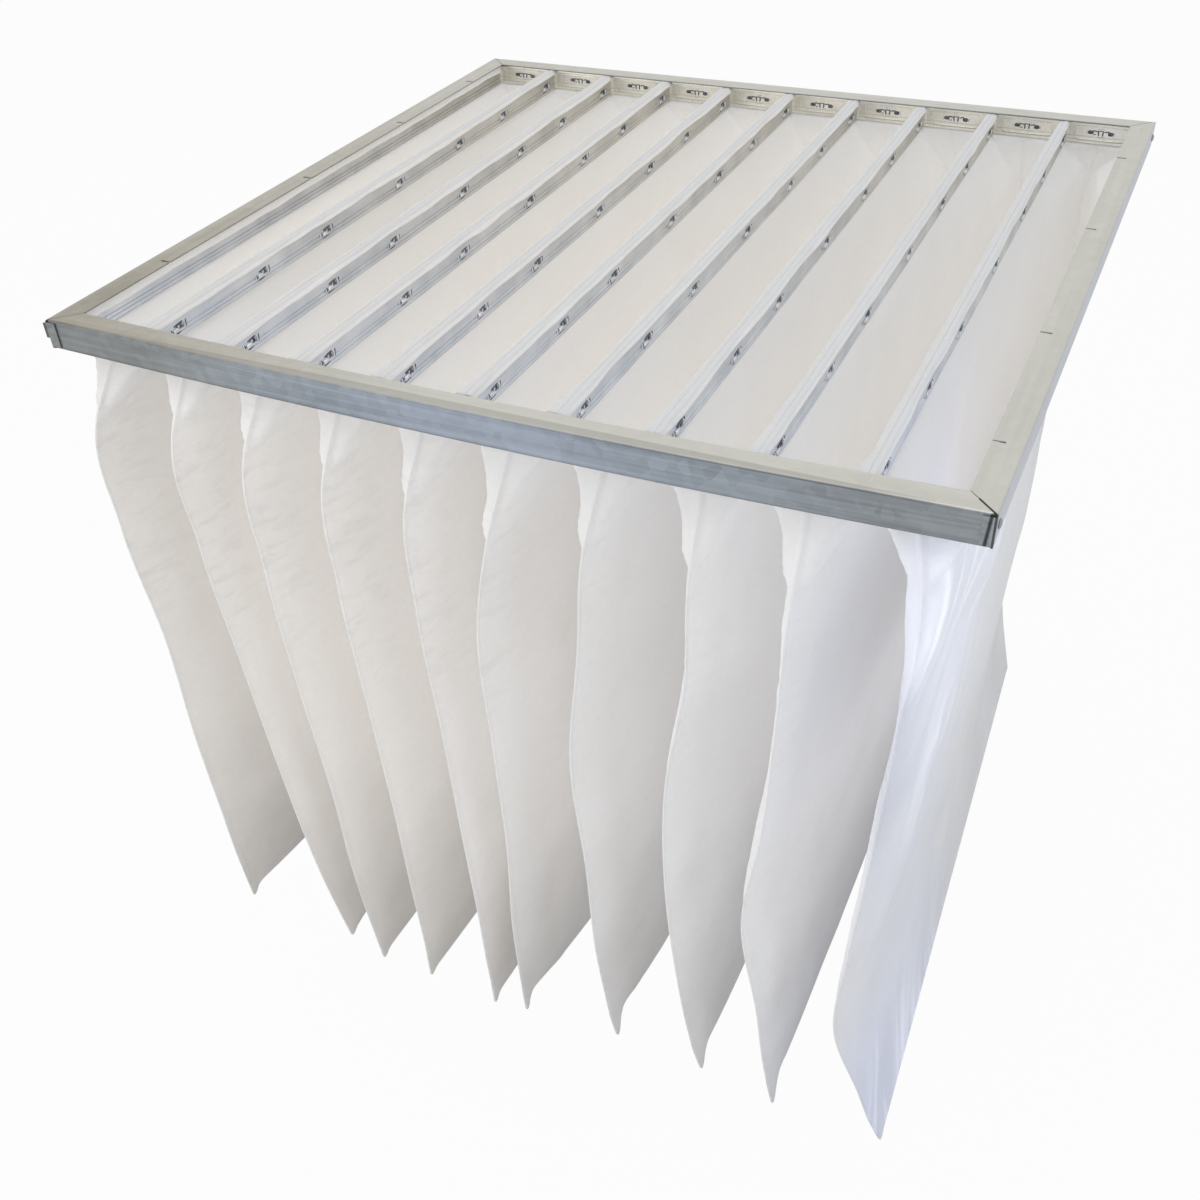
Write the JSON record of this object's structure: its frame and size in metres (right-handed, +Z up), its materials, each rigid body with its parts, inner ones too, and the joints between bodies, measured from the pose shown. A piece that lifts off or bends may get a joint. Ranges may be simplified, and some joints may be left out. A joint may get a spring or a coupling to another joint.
{
  "type": "bag air filter",
  "caption": "Bag air filter: a square folded steel header holds a row of deep white cloth pockets, open at the top on steel retainers and sewn shut at the bottom.",
  "frame": {"origin": "centre of the header's underside, the face that seats on the mounting frame", "axes": "+Z up out of the pockets' mouths, against the air flow; X across the row of pockets; Y along each pocket's mouth, with the bowed front rail on -Y"},
  "size_m": [0.5959, 0.6264, 0.58],
  "materials": {
    "header_steel": "galvanised sheet, satin, slightly stained",
    "retainer_steel": "bright galvanised strip",
    "rivet_steel": "dull zinc",
    "filter_cloth": "matt non-woven synthetic cloth, off-white"
  },
  "bodies": {
    "root": {"front_rail": "header_steel", "back_rail": "header_steel", "left_rail": "header_steel", "right_rail": "header_steel", "corner_rivet_front_left": "rivet_steel", "corner_rivet_front_right": "rivet_steel", "corner_rivet_back_left": "rivet_steel", "corner_rivet_back_right": "rivet_steel", "retainer_01": "retainer_steel", "retainer_02": "retainer_steel", "retainer_03": "retainer_steel", "retainer_04": "retainer_steel", "retainer_05": "retainer_steel", "retainer_06": "retainer_steel", "retainer_07": "retainer_steel", "retainer_08": "retainer_steel", "retainer_09": "retainer_steel", "retainer_10": "retainer_steel", "pocket_01": "filter_cloth", "pocket_02": "filter_cloth", "pocket_03": "filter_cloth", "pocket_04": "filter_cloth", "pocket_05": "filter_cloth", "pocket_06": "filter_cloth", "pocket_07": "filter_cloth", "pocket_08": "filter_cloth", "pocket_09": "filter_cloth", "pocket_10": "filter_cloth"}
  },
  "joints": []
}
